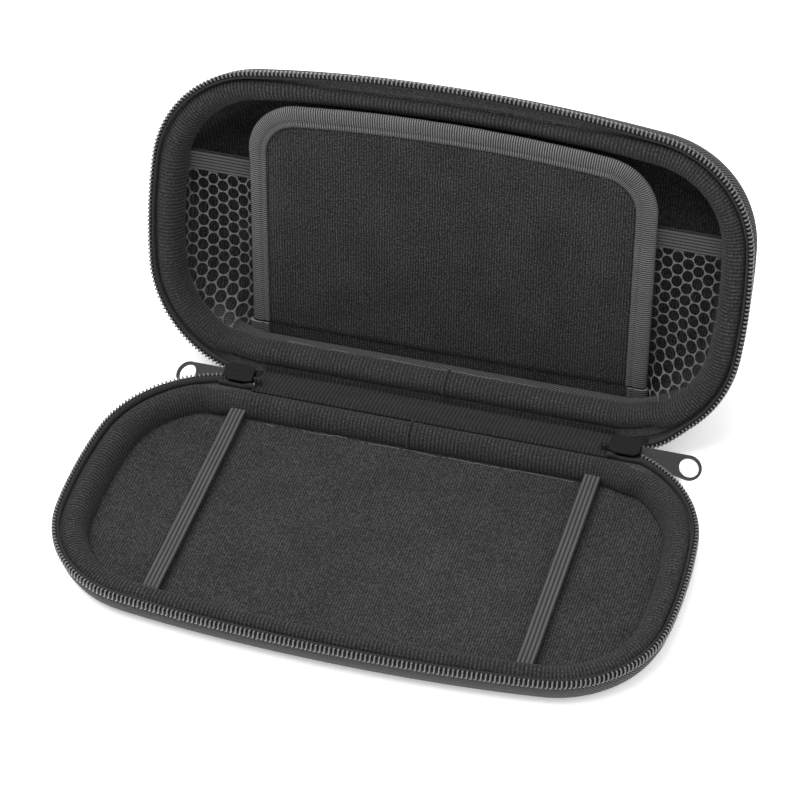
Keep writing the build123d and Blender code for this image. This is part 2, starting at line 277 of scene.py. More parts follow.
def finishMaterial(tree, shader, height, tones, bump, roughness):
    # colour by height, with the same height as bump
    ramp = addNode(tree, "ShaderNodeValToRGB", None, {"Fac": height})
    while len(ramp.color_ramp.elements) < len(tones):
        ramp.color_ramp.elements.new(0.5)
    for element, (at, tone) in zip(ramp.color_ramp.elements, tones):
        element.position, element.color = at, fromHex(tone)
    tree.links.new(ramp.outputs["Color"], shader.inputs["Base Color"])
    relief = addNode(tree, "ShaderNodeBump", {"Strength": bump[0], "Distance": bump[1] * mm}, {"Height": height})
    tree.links.new(relief.outputs["Normal"], shader.inputs["Normal"])
    spread = addNode(tree, "ShaderNodeMapRange", {"To Min": roughness[0], "To Max": roughness[1]}, {"Value": height})
    tree.links.new(spread.outputs["Result"], shader.inputs["Roughness"])


def mixHeights(tree, parts):
    # weighted sum of several heights
    total = None
    for source, weight in parts:
        settings = {"operation": "MULTIPLY_ADD", 1: weight, 2: 0.0}
        links = {0: source}
        if total:
            links[2] = total
        total = (addNode(tree, "ShaderNodeMath", settings, links), 0)
    return total


def knitMaterial(name, useUv, tones, walePitch, coursePitch):
    # polyester tricot, brushed: fine upright wales of small V stitches under a short nap
    cloth = {"Sheen Weight": 0.06, "Sheen Roughness": 0.5, "Specular IOR Level": 0.15}
    material, tree, shader, place = startMaterial(name, cloth, useUv)
    xyz = addNode(tree, "ShaderNodeSeparateXYZ", None, {"Vector": place})
    wander = addNode(tree, "ShaderNodeTexNoise", {"Scale": 0.12, "Detail": 2.0}, {"Vector": place})
    shifted = addNode(tree, "ShaderNodeMath", {"operation": "MULTIPLY_ADD", 1: 1.2},
                      {0: (wander, "Fac"), 2: (xyz, "X")})
    wale = waveOf(tree, (shifted, 0), walePitch)
    slant = addNode(tree, "ShaderNodeMath", {"operation": "MULTIPLY_ADD", 1: 0.55 * coursePitch},
                    {0: wale, 2: (xyz, "Y")})
    if not useUv:
        slant = addNode(tree, "ShaderNodeMath", {"operation": "ADD"}, {0: (slant, 0), 1: (xyz, "Z")})
    course = waveOf(tree, (slant, 0), coursePitch)
    nap = addNode(tree, "ShaderNodeTexNoise", {"Scale": 1.2, "Detail": 5.0, "Roughness": 0.7}, {"Vector": place})
    patch = addNode(tree, "ShaderNodeTexNoise", {"Scale": 0.06, "Detail": 3.0}, {"Vector": place})
    height = mixHeights(tree, [(wale, 0.17), (course, 0.09), ((nap, "Fac"), 1.0), ((patch, "Fac"), 0.12)])
    finishMaterial(tree, shader, height, tones, (0.6, 0.4), (0.95, 0.8))
    return material


def ribMaterial(name, tones, bump, along, across, nap):
    # ribbed cloth whose ribs are modelled: the colour darkens in the same grooves, painted shade there on top of the
    # cloth's own tone, under a fine nap
    cloth = {"Sheen Weight": 0.06, "Sheen Roughness": 0.5, "Specular IOR Level": 0.2}
    material, tree, shader, place = startMaterial(name, cloth, True)
    xyz = addNode(tree, "ShaderNodeSeparateXYZ", None, {"Vector": place})
    first = waveOf(tree, (xyz, "X"), along[0])
    second = addNode(tree, "ShaderNodeMath", {"operation": "POWER", 1: 0.4}, {0: waveOf(tree, (xyz, "Y"), across[0])})
    fuzz = addNode(tree, "ShaderNodeTexNoise", {"Scale": nap[0], "Detail": 5.0, "Roughness": 0.7}, {"Vector": place})
    patch = addNode(tree, "ShaderNodeTexNoise", {"Scale": 0.08, "Detail": 2.0}, {"Vector": place})
    height = mixHeights(tree, [(first, along[1]), ((second, 0), across[1]), ((fuzz, "Fac"), nap[1]),
                               ((patch, "Fac"), 0.1)])
    finishMaterial(tree, shader, height, tones, bump, (0.95, 0.8))
    return material


def twillMaterial(name, useUv, tones, pitch, ridgeShare=0.5):
    # polyester twill: diagonal ridges crossed by the weft, drawn coarser than real ones so that they show
    cloth = {"Sheen Weight": 0.04, "Sheen Roughness": 0.4, "Specular IOR Level": 0.2}
    material, tree, shader, place = startMaterial(name, cloth, useUv)
    xyz = addNode(tree, "ShaderNodeSeparateXYZ", None, {"Vector": place})
    first = addNode(tree, "ShaderNodeMath", {"operation": "ADD"}, {0: (xyz, "X"), 1: (xyz, "Y")})
    second = addNode(tree, "ShaderNodeMath", {"operation": "ADD"}, {0: (first, 0), 1: (xyz, "Z")})
    counter = addNode(tree, "ShaderNodeMath", {"operation": "SUBTRACT"}, {0: (first, 0), 1: (xyz, "Z")})
    ridge = waveOf(tree, (second, 0), pitch)
    weft = waveOf(tree, (counter, 0), 0.45 * pitch)
    grain = addNode(tree, "ShaderNodeTexNoise", {"Scale": 1.4, "Detail": 3.0}, {"Vector": place})
    height = mixHeights(tree, [(ridge, ridgeShare), (weft, 0.15), ((grain, "Fac"), 0.9 - ridgeShare)])
    finishMaterial(tree, shader, height, tones, (0.5, 0.25), (0.85, 0.65))
    return material


floorKnit = knitMaterial("polyester tricot, brushed, tray and lid linings", False,
                         [(0.46, "#080808"), (0.68, "#222222"), (0.94, "#454545")], 1.05, 1.1)
flapKnit = knitMaterial("polyester tricot, brushed, flap", True,
                        [(0.48, "#030303"), (0.68, "#1b1b1b"), (0.9, "#484848")], 1.05, 1.1)
rollKnit = ribMaterial("polyester rib knit, brushed", [(0.46, "#060606"), (0.7, "#202020"), (0.96, "#444444")],
                       (0.7, 0.4), (1.55, 0.19), (1.1, 0.06), (1.2, 1.0))
# the same rib knit in darker tones: painted shade for the hinge band and its tabs, down in the fold
shadedHingeKnit = ribMaterial("polyester rib knit, darker as painted shade in the fold", [(0.46, "#040404"), (0.7, "#171717"), (0.96, "#363636")],
                        (0.7, 0.4), (1.55, 0.19), (1.1, 0.06), (1.2, 1.0))
bindingTape = ribMaterial("polyester grosgrain, woven", [(0.3, "#090909"), (0.6, "#3e3e3e"), (0.9, "#727272")],
                          (0.6, 0.2), (0.95, 0.5), (0.6, 0.08), (1.6, 0.5))
# the elastic's dark grooves between its cords are painted shade
elasticTape = ribMaterial("rubber elastic, woven", [(0.3, "#101010"), (0.66, "#3e3e3e"), (0.9, "#5a5a5a")],
                          (0.5, 0.2), (0.62, 0.1), (2.0, 0.45), (1.6, 0.4))
shellTwill = twillMaterial("polyester twill, moulded on foam", False,
                           [(0.25, "#161616"), (0.55, "#343434"), (0.85, "#555555")], 0.95, 0.12)
shellCloth = twillMaterial("polyester twill, drawn over the rim", True,
                           [(0.25, "#0e0e0e"), (0.55, "#303030"), (0.85, "#606060")], 1.25, 0.55)
zipTwill = twillMaterial("polyester tape, woven", True,
                         [(0.2, "#121212"), (0.6, "#262626"), (0.95, "#3c3c3c")], 0.7)
# near black: the cord's own dark colour, deepened as painted shade for the gaps between the coil's loops
shadedCoreCord = twillMaterial("polyester cord, twisted", True,
                         [(0.2, "#020202"), (0.6, "#060606"), (0.95, "#0e0e0e")], 0.9)

# nylon monofilament, extruded: smooth, dark, with sharp small glints
coilGloss = {"Coat Weight": 0.3, "Coat Roughness": 0.2, "IOR": 1.53}
coilNylon, tree, shader, place = startMaterial("nylon monofilament, extruded", coilGloss, False)
streak = addNode(tree, "ShaderNodeTexNoise", {"Scale": 2.5, "Detail": 2.0}, {"Vector": place})
finishMaterial(tree, shader, (streak, "Fac"), [(0.3, "#434344"), (0.7, "#5e5e5f")], (0.15, 0.05), (0.2, 0.32))

# polyester yarn, knitted: soft grey threads of the net
yarnSheen = {"Sheen Weight": 0.2, "Specular IOR Level": 0.3}
netYarn, tree, shader, place = startMaterial("polyester yarn, knitted net", yarnSheen, False)
strand = addNode(tree, "ShaderNodeTexNoise", {"Scale": 3.0, "Detail": 3.0}, {"Vector": place})
finishMaterial(tree, shader, (strand, "Fac"), [(0.25, "#3a3a3a"), (0.75, "#6e6e6e")], (0.4, 0.12), (0.9, 0.75))

# zinc alloy, die cast and painted: a near-black copy of the paint for the slider bodies, which is painted shade, and
# the lighter paint of the pulls as their own colour
metals = []
for name, gloss, tones in (("zinc alloy, cast and painted, darkened as painted shade", 0.05, [(0.3, "#030303"), (0.7, "#141415")]),
                           ("zinc alloy, stamped and painted", 0.3, [(0.3, "#161617"), (0.7, "#282829")])):
    paint, tree, shader, place = startMaterial(name, {"Specular IOR Level": gloss}, False)
    film = addNode(tree, "ShaderNodeTexNoise", {"Scale": 1.1, "Detail": 5.0, "Roughness": 0.7}, {"Vector": place})
    finishMaterial(tree, shader, (film, "Fac"), tones, (0.12, 0.06), (0.36, 0.5))
    metals.append(paint)
print("materials made")

# Moulded shells, linings and cast metal keep their solids, with a finish each
solidFinish = {
    "base_shell": shellTwill, "lid_shell": shellTwill, "base_lining": floorKnit, "lid_lining": floorKnit,
    "left_slider": metals[0], "right_slider": metals[0], "left_pull": metals[1], "right_pull": metals[1],
}
for name, finish in solidFinish.items():
    nodes[name].data.materials.clear()
    nodes[name].data.materials.append(finish)

# Cloth drawn over the shells' outer walls: it stands out a little below the zip and dies into the wall
skinForm = {
    "base": [(2.4, 4.12), (1.5, 4.15), (0.8, 4.6), (0.35, 5.6), (0.4, 7.0), (0.9, 8.8), (1.8, 10.8), (3.4, 12.7),
             (5.9, 14.0), (8.8, 14.46), (11.5, 14.47), (11.5, 13.8), (6.0, 12.6), (3.4, 9.5), (2.8, 6.0)],
    "lid": [(2.4, 4.12), (1.5, 4.15), (0.8, 4.7), (0.3, 5.9), (0.15, 7.6), (0.35, 9.6), (0.95, 11.8), (2.2, 14.0),
            (3.5, 16.2), (4.9, 18.4), (6.4, 20.5), (8.6, 22.4), (8.9, 20.5), (4.6, 12.5), (2.8, 6.0)],
    "flat": 96.0, "full": 118.0, "tuck": 2.2, "step": 1.6,
    "swell": {"base": 0.0, "lid": 1.6}, "swellAt": 205.0, "swellReach": 34.0,
    "swellShare": [0, 0, 0.2, 0.6, 1, 1, 1, 0.9, 0.7, 0.4, 0.15, 0, 0, 0, 0],
    "flatter": {"base": 0.0, "lid": 0.9}, "flatterReach": 60.0,
}


def makeSkin(body, place):
    f = skinForm
    s = np.linspace(0, rimLength, int(rimLength / f["step"]), endpoint=False)
    share = smoothStep((np.minimum(s, rimLength - s) - f["flat"]) / (f["full"] - f["flat"]))
    tuck = f["tuck"] * (1 - share)[:, None]
    swell = f["swell"][body] * hump(s, f["swellAt"], f["swellReach"])[:, None] * np.array(f["swellShare"])
    flatter = f["flatter"][body] * hump(s, rimHalf, f["flatterReach"])[:, None]
    lift = (tuck + frontGive(s, body) + flatter - swell, 0 * swell)
    skin = sweepRim(body + "_shell_cloth", place, s, f[body], lift, True)
    return finishPiece(skin, body, shellCloth, "shell_cloth")


makeSkin("base", inBase)
makeSkin("lid", inLid)
print("outer cloth drawn")

# Padded rolls round both rims: ribs of knit across the roll, ends meeting in a crease at the back
rollForm = {
    "profile": [(6.3, 4.0), (6.35, 3.2), (6.7, 2.5), (7.4, 1.95), (8.4, 1.6), (9.5, 1.55), (10.6, 1.85), (11.8, 2.65),
                (12.9, 3.9), (13.8, 5.5), (14.3, 7.2), (14.2, 8.8), (13.6, 9.9), (10.0, 10.1), (6.5, 9.2), (6.4, 5.0)],
    "wide": [(2.7, 3.95), (2.6, 3.5), (2.85, 2.8), (3.6, 2.1), (4.8, 1.5), (6.3, 1.2), (7.8, 1.3), (9.2, 2.0),
             (10.4, 3.2), (11.3, 4.8), (11.9, 6.6), (12.1, 8.4), (11.8, 9.9), (9.0, 10.1), (6.5, 9.2), (6.4, 4.1)],
    "shown": [0, 0.4, 0.8, 1, 1, 1, 1, 1, 1, 1, 1, 0.8, 0.4, 0, 0, 0],
    "narrowTo": {1: 88.0, -1: 82.0}, "wideReach": 12.0,
    "ribPitch": 1.55, "perRib": 6, "ribRise": 0.1, "ribWander": 0.8, "wanderScale": 9.0,
    "nap": 0.045, "lump": 0.3, "lumpScale": 34.0,
    "crease": 1.5, "creaseWidth": 0.55, "dip": 0.35, "dipAt": 3.0, "dipWidth": 2.2,
    "seams": {"base": -2.0, "lid": 5.0}, "sunk": {"base": 0.0, "lid": 0.75}, "sunkReach": 58.0,
    "trough": {"base": 1.5, "lid": 1.6}, "troughReach": 66.0,
    "troughShare": [1, 1, 1, 1, 0.8, 0.5, 0.2, 0, 0, 0, 0, 0, 0, 0, 0, 0],
}


def makeRoll(body, place, node):
    f = rollForm
    ribs = round(rimLength / f["ribPitch"])
    s = np.arange(ribs * f["perRib"]) * rimLength / (ribs * f["perRib"])
    normals, shown = profileNormals(f["profile"]), np.array(f["shown"])
    wander = f["ribWander"] * smoothNoise(s, f["wanderScale"], 2.0)
    rib = f["ribRise"] * np.cos(2 * np.pi * s / (rimLength / ribs) + wander)
    lump = f["lump"] * smoothNoise(s, f["lumpScale"], 4.0 + len(body))
    seam = (s - f["seams"][body] + rimHalf) % rimLength - rimHalf
    crease = -f["crease"] * hump(seam, 0.0, f["creaseWidth"]) - f["dip"] * hump(seam, f["dipAt"], f["dipWidth"])
    rise = ((rib + lump + crease)[:, None] + rng.normal(0, f["nap"], (len(s), len(shown)))) * shown[None, :]
    # away from the hinge and the sliders the roll's cloth reaches over the rim to the zip
    narrowTo = np.where(s < rimHalf, f["narrowTo"][1], f["narrowTo"][-1])
    share = smoothStep((np.minimum(s, rimLength - s) - narrowTo) / f["wideReach"])
    # along the lid's free edge it lies lower, clear of the zip
    share = share * (1 - f["sunk"][body] * hump(s, rimHalf, f["sunkReach"], 4))
    spread = share[:, None, None] * (np.array(f["wide"]) - np.array(f["profile"]))[None]
    trough = f["trough"][body] * hump(s, rimHalf, f["troughReach"], 4)[:, None] * np.array(f["troughShare"])
    # the profile runs from the rim over the crest to the floor, so its normals point out of the pad
    lift = (spread[..., 0] - rise * normals[None, :, 0] + frontGive(s, body) + trough,
            spread[..., 1] - rise * normals[None, :, 1])
    piece = sweepRim(node + "_knit", place, s, f["profile"], lift, True)
    return finishPiece(piece, body, rollKnit, "roll_knit", node)


makeRoll("base", inBase, "base_roll")
makeRoll("lid", inLid, "lid_roll")
print("rolls swept")

# Raw lining edge that shows as a pale fluffy line at the foot of each roll, along the back
fluffForm = {
    "base": (14.7, 10.12, -60.0, 64.0), "lid": (14.05, 9.2, -62.0, 54.0),
    "radius": 0.14, "sides": 6, "stations": 420, "settle": 0.8,
    "wander": 0.6, "wanderScale": 11.0, "fray": 0.3, "frayScale": 1.3,
}
for body, place in (("base", inBase), ("lid", inLid)):
    f = fluffForm
    inset, depth, start, end = f[body]
    s = np.linspace(start, end, f["stations"])
    around = [2 * math.pi * k / f["sides"] for k in range(f["sides"])]
    ring = [(inset + f["radius"] * math.cos(a), depth - f["radius"] * math.sin(a)) for a in around]
    inward, downward = (f["wander"] * smoothNoise(s, f["wanderScale"], 3.0 + k)
                        + f["fray"] * smoothNoise(s, f["frayScale"], 8.0 + k) for k in (0, 1))
    lift = (inward[:, None], f["settle"] * downward[:, None])
    fluff = sweepRim(body + "_lining_edge", place, s, ring, lift)
    finishPiece(fluff, body, netYarn, "lining_knit")
print("lining edges laid")

# Zip: woven tape along each rim and single coil loops over its edge
zipForm = {
    "ends": {"base": (87.6, -81.6), "lid": (84.9, -82.6)}, "tapeEnd": 87.3, "stations": 500,
    "tape": [(1.05, 5.4), (1.05, 0.9), (1.75, 0.9), (1.75, 5.4)],
    "core": [(-0.2, 3.6), (-0.25, 1.3), (0.2, 0.95), (0.95, 0.95), (0.98, 3.6)], "topDepth": 2.0,
    "pitch": 1.69, "wire": 0.37, "head": 1.25, "leg": 0.95, "headDepth": 0.6, "uneven": 0.05,
    "loop": [(-0.1, -0.55, 3.5), (-0.1, -0.6, 1.5), (-0.06, -0.55, 0.7), (0.0, 0.0, 0.45), (0.05, 0.55, 0.7),
             (0.08, 0.6, 1.5), (0.2, 0.6, 2.8), (0.5, 0.55, 3.4), (1.0, 0.3, 3.5)],
    "bendFrom": 80.0, "mouthX": 87.0, "mouthY": 64.2, "mouthLead": 2.0,
    "bend": [(87.0, 1.96), (90.0, 2.1), (94.0, 1.5), (98.0, 0.6), (102.0, 0.0)],
    "coreBend": 0.3, "coreLift": 2.0, "squeeze": 0.3, "narrow": 0.25,
}


def makeLoop():
    # one turn of the coil: a rod bent over the tape's edge, a little fuller at its head
    bpy.ops.object.select_all(action="DESELECT")
    bpy.ops.curve.primitive_nurbs_path_add()
    curve = bpy.context.object
    spline = curve.data.splines[0]
    spline.points.add(len(zipForm["loop"]) - len(spline.points))
    for point, at in zip(spline.points, zipForm["loop"]):
        point.co = (*at, 1.0)
        point.radius = zipForm["head"] if at[2] < zipForm["headDepth"] else zipForm["leg"]
    spline.order_u, spline.use_endpoint_u = 3, True
    curve.data.resolution_u, curve.data.bevel_resolution = 1, 1
    curve.data.bevel_depth, curve.data.use_fill_caps = zipForm["wire"], True
    bpy.ops.object.convert(target="MESH")
    loop = bpy.context.object
    shape = np.array([v.co for v in loop.data.vertices])
    faces = [list(p.vertices) for p in loop.data.polygons]
    bpy.data.objects.remove(loop)
    return shape, faces


loopShape, loopFaces = makeLoop()


def mouthBend(s, body):
    # how far the lid's right end is inside the slider's mouth, and the way outward it goes to get there
    x, y, _, _ = rimAt(s)
    f = zipForm
    there = ((x > f["bendFrom"]) & (y > 0)) * (body == "lid")
    knots = np.array(f["bend"])
    outward = np.where(x < f["mouthX"], f["mouthY"] - y, np.interp(x, knots[:, 0], knots[:, 1]))
    inside = smoothStep((f["mouthX"] + f["mouthLead"] - x) / f["mouthLead"])
    return (there * inside)[:, None], (there * outward)[:, None]


def makeZip(body, place):
    f = zipForm
    start, end = (rimStation(x) for x in f["ends"][body])
    s = np.linspace(start, end, f["stations"])
    turned, bend = mouthBend(s, body)
    held = s >= rimStation(f["tapeEnd"])
    upper = np.array([depth < f["topDepth"] for _, depth in f["tape"]])
    lift = ((frontGive(s, body) - bend * upper)[held], 0 * upper)
    tape = sweepRim(body + "_zip_tape_weave", place, s[held], f["tape"], lift)
    finishPiece(tape, body, zipTwill, "zip_tape", body + "_zip_tape")
    # filler cord inside the coil; its near-black colour is partly its own and partly painted shade in the gaps between
    # the loops
    lower = np.array([depth > f["topDepth"] for _, depth in f["core"]])
    lift = (frontGive(s, body) - bend - f["coreBend"] * turned, -f["squeeze"] * f["coreLift"] * turned * lower)
    core = sweepRim(body + "_zip_core", place, s, f["core"], lift)
    finishPiece(core, body, shadedCoreCord, "zip_tape")
    count = int((end - start) / f["pitch"])
    at = start + (np.arange(count) + 0.5) * (end - start) / count
    x, y, nx, ny = (v[:, None] for v in rimAt(at))
    # the tangent runs along s, which goes clockwise seen from above
    turned, bend = mouthBend(at, body)
    a, b, c = (loopShape[:, k][None] for k in range(3))
    b = b * (1 - f["narrow"] * turned) - frontGive(at, body) + bend
    c = c * (1 - f["squeeze"] * turned) + rng.normal(0, f["uneven"], (count, 1))
    spots = place(x + ny * a + nx * b, y - nx * a + ny * b, c)
    size = len(loopShape)
    faces = [[v + k * size for v in face] for k in range(count) for face in loopFaces]
    coil = linkMesh(body + "_zip_coil", spots, faces)
    faceOutward(coil)
    finishPiece(coil, body, coilNylon, "zip_coil", body + "_zip_teeth")
    return count


print("coil loops:", makeZip("base", inBase), makeZip("lid", inLid))

# Cloth round the sliders: the base's tape runs on inside them, the lid's is turned out beside them,
# and a tab closes each end of the hinge
endForm = {
    "left": {"slider": 64.985, "tape": (-68.0, -83.0), "tab": (-68.6, -65.4), "skirt": (-66.0, -84.0)},
    "right": {"slider": 64.022, "tape": (74.75, 88.6), "tab": (74.6, 71.4), "skirt": (72.0, 93.0)},
    "tops": [(0.0, 14.0), (2.0, 14.0), (4.5, 12.75), (9.0, 12.75), (12.0, 13.1), (15.0, 13.1)],
    "tapeIn": 3.8, "tapeWall": 0.5, "foot": 10.2, "weaveHeight": 3.0,
    "tabY": 63.5, "tabWall": 0.6, "tabLow": 11.2, "tabHigh": 15.5,
    "skirtRing": [(3.0, 4.35), (-1.7, 4.35), (-1.7, 4.85), (3.0, 4.85)],
}


def makeFin(name, x, y, wall, low, high, material, slot):
    # a strip of cloth standing along x
    ringY = y + np.array([-0.5, -0.5, 0.5, 0.5]) * wall
    ringZ = np.stack([low + 0 * x, high, high, low + 0 * x], 1)
    grid = np.stack(np.broadcast_arrays(x[:, None], ringY[None], ringZ), -1) * mm
    weave = endForm["weaveHeight"]
    around = np.array([0, weave, weave + wall, 2 * weave + wall, 2 * weave + 2 * wall])
    fin = clothMesh(name, grid, x, around, False, True, False, True)
    faceOutward(fin)
    finishPiece(fin, "base", material, slot)


for side in ("left", "right"):
    f, ends = endForm, endForm[side]
    x = np.linspace(*ends["tape"], 40)
    top = np.interp(np.abs(x - x[0]), *zip(*f["tops"]))
    makeFin(side + "_zip_end_tape", x, ends["slider"] - f["tapeIn"], f["tapeWall"], f["foot"], top, zipTwill, "zip_tape")
    x = np.linspace(*ends["tab"], 8)
    makeFin(side + "_hinge_tab", x, f["tabY"], f["tabWall"], f["tabLow"], f["tabHigh"] + 0 * x, shadedHingeKnit, "roll_knit")
    first, last = sorted(rimStation(v) if abs(v) > backStraight else v % rimLength for v in ends["skirt"])
    skirt = sweepRim(side + "_zip_skirt_tape", inLid, np.linspace(first, last, 40), f["skirtRing"])
    faceOutward(skirt)
    finishPiece(skirt, "lid", zipTwill, "zip_tape")
print("slider surrounds made")

# Elastic straps across the tray: four cords side by side with grooves between them
strapForm = {
    "x": 71.3, "width": 6.4, "bands": 4, "top": 8.9, "wall": 1.1, "groove": 0.45, "roundness": 0.35,
    "front": -53.0, "back": 52.0, "sag": 0.25, "waver": 0.12, "waverScale": 18.0,
    "topPoints": 41, "underPoints": 9, "stations": 160,
}
for side, hand in (("left", -1), ("right", 1)):
    f = strapForm
    across = np.linspace(-0.5, 0.5, f["topPoints"])
    hill = np.abs(np.cos(np.pi * f["bands"] * (across + 0.5) + np.pi / 2)) ** f["roundness"]
    top = f["top"] - f["groove"] * (1 - hill)
    under = np.linspace(0.5, -0.5, f["underPoints"])
    ringX = np.concatenate([across, under]) * f["width"]
    ringZ = np.concatenate([top, np.full(f["underPoints"], f["top"] - f["wall"])])
    ys = np.linspace(f["front"], f["back"], f["stations"])
    dip = f["sag"] * np.sin(np.pi * (ys - f["front"]) / (f["back"] - f["front"]))
    waver = f["waver"] * smoothNoise(ys, f["waverScale"], 3.0 + hand)
    xs = hand * f["x"] + ringX[None] + waver[:, None]
    grid = np.stack(np.broadcast_arrays(xs, ys[:, None], ringZ[None] - dip[:, None]), -1) * mm
    around = (np.append(ringX, ringX[0]) / f["width"] + 0.5) * 2.0 * f["bands"] + 1.0
    strap = clothMesh(side + "_strap_elastic", grid, ys - ys[0], around, False, True, True, True)
    finishPiece(strap, "base", elasticTape, "elastic", side + "_strap")
print("straps made")

# Flap: a thin pad in front of the pocket, bound in grosgrain round its sides and top
flapForm = {
    "halfWidth": 81.0, "footY": 48.5, "footDepth": 21.6, "lean": 12.0, "topInset": 12.2, "corner": 22.0, "wall": 2.4,
    "padInset": 1.0, "padFlat": 8.0, "padRound": 6.0, "puff": 0.5, "wave": 0.35,
    "frontSink": 0.3, "backSink": 0.5, "backPuff": 0.4,
    "bindingWidth": 8.0, "bindingWall": 0.45, "ribPitch": 0.95, "perRib": 5, "ribRise": 0.09, "uneven": 0.1,
    "tail": 5.5, "tuckTo": 110.0, "tuckReach": 40.0, "tuckShift": 0.8, "tuckNarrow": 0.14,
    "stripLean": 16.0, "stripLength": 13.5, "stripWall": 1.0, "stripBulge": 0.5, "stripRipple": 0.3,
    "cut": 0.32, "cutFrom": 60.0, "cutReach": 16.0,
}


def lidPanel(lean):
    # foot, up and facing directions of a panel that leans out of the lid
    tilt = openAngle - math.radians(lean)
    foot = inLid(np.float64(0), np.float64(flapForm["footY"]), np.float64(flapForm["footDepth"])) / mm
    up = np.array([0, -math.cos(tilt), math.sin(tilt)])
    face = np.array([0, -math.sin(tilt), -math.cos(tilt)])
    return foot, up, face


def onPanel(panel, u, v, w):
    foot, up, face = panel
    u, v, w = np.broadcast_arrays(u, v, w)
    return (foot + u[..., None] * np.array([1.0, 0, 0]) + v[..., None] * up + w[..., None] * face) * mm


flapPanel, stripPanel = lidPanel(flapForm["lean"]), lidPanel(flapForm["stripLean"])
flapRise = (flapForm["footY"] + caseForm["halfDepth"] - flapForm["topInset"]) / math.cos(math.radians(flapForm["lean"]))
flapBow = caseForm["frontBow"] - flapForm["topInset"]
cornerU = flapForm["halfWidth"] - flapForm["corner"]
cornerV = flapRise - flapBow + math.sqrt((flapBow - flapForm["corner"]) ** 2 - cornerU ** 2)
cornerTurn = math.atan2(cornerV - flapRise + flapBow, cornerU)


def flapEdge(t):
    # place and outward normal on the flap's edge, t millimetres up from the foot on the left
    side, bend, half = cornerV, flapForm["corner"] * cornerTurn, flapBow * (math.pi / 2 - cornerTurn)
    whole = 2 * (side + bend + half)
    t = np.asarray(t, float)
    right = t > whole / 2
    r = np.where(right, whole - t, t)
    angle = np.where(r < side, math.pi, np.where(r < side + bend, math.pi - (r - side) / flapForm["corner"],
                     math.pi - cornerTurn - (r - side - bend) / flapBow))
    u = np.where(r < side + bend, -cornerU + flapForm["corner"] * np.cos(angle), flapBow * np.cos(angle))
    v = np.where(r < side, r, np.where(r < side + bend, cornerV + flapForm["corner"] * np.sin(angle),
                 flapRise - flapBow + flapBow * np.sin(angle)))
    hand = np.where(right, -1.0, 1.0)
    return u * hand, v, np.cos(angle) * hand, np.where(r < side, 0.0, np.sin(angle)), whole


# pad: front and back faces meet along the edge under the binding
f = flapForm
rows, columns = 90, 120
v = np.linspace(0, 1, rows) ** 0.9  # rows a little closer at the top
half = f["halfWidth"] - f["padInset"]
height = v * (flapRise - f["padInset"])
over = np.clip(height - (cornerV - f["padInset"]), 0, f["corner"])
reach = half - f["corner"] + np.sqrt(f["corner"] ** 2 - np.minimum(over, f["corner"] - 0.6) ** 2)
share = np.sin(np.linspace(-np.pi / 2, np.pi / 2, columns)) * 0.35 + np.linspace(-1, 1, columns) * 0.65
u = share[None, :] * reach[:, None]
upright = height[:, None] - (u ** 2) / (2 * flapBow) * v[:, None]
edge = np.minimum((1 - np.abs(share))[None, :] * reach[:, None], flapRise - (u ** 2) / (2 * flapBow) - upright)
swell = np.sqrt(np.clip(1 - (1 - np.clip((edge - f["padFlat"]) / f["padRound"], 0, 1)) ** 2, 0, 1))
waves = clothNoise(u, upright, 30.0, 26.0, 1.7)
front = f["wall"] / 2 - f["frontSink"] + (f["puff"] + f["wave"] * waves) * swell
back = -(f["wall"] / 2 - f["backSink"]) - f["backPuff"] * swell
grid = np.concatenate([onPanel(flapPanel, u, upright, front), onPanel(flapPanel, u, upright, back)[:, ::-1]], 1)
around = np.arange(2 * columns + 1) * 2.0 * half / columns
pad = clothMesh("flap_pad_knit", grid, height, around, False, True, True, False)
# the pad's own UV has wales upright: u across, v up
spread = np.stack([u, upright], -1)
places = np.concatenate([spread, spread[:, ::-1]], 1).reshape(-1, 2)
corners = np.zeros(len(pad.data.loops), int)
pad.data.loops.foreach_get("vertex_index", corners)
pad.data.uv_layers["cloth"].data.foreach_set("uv", places[corners].astype(np.float32).ravel())
faceOutward(pad, True)
finishPiece(pad, "lid", flapKnit, "lining_knit", "flap_pad")


def sweepEdge(name, panel, u, v, nu, nv, along, rise, squeeze):
    # the binding's folded section, with a stitched groove, carried along an edge of a panel
    w, t, wide = flapForm["wall"] / 2, flapForm["bindingWall"], flapForm["bindingWidth"]
    section = [(wide, w - 0.1), (wide, w + 0.36), (7.3, w + 0.52), (6.4, w + 0.5), (5.75, w + 0.02), (5.1, w + 0.5),
               (4.2, w + 0.62), (2.8, w + 0.58), (1.4, w + 0.38), (0.4, w - 0.1), (0.0, w * 0.4), (0.0, -w * 0.4),
               (0.4, -w + 0.15), (1.3, -w - t + 0.1), (3.5, -w - t), (wide, -w - t), (wide, -w - 0.02),
               (2.0, -w + 0.3), (0.9, 0.0), (2.0, w - 0.3)]
    shown = np.array([0.3, 0.8, 1, 1, 0.5, 1, 1, 1, 1, 1, 1, 1, 1, 1, 1, 0.8, 0.3, 0, 0, 0])
    normals, push = profileNormals(section), rise[:, None] * shown[None]
    inset, level = (np.array(k)[None] for k in zip(*section))
    inset, level = inset * squeeze[:, None] - push * normals[None, :, 0], level - push * normals[None, :, 1]
    grid = onPanel(panel, u[:, None] - nu[:, None] * inset, v[:, None] - nv[:, None] * inset, level)
    return clothMesh(name, grid, along, lengthRound(section), False, True, False, True)


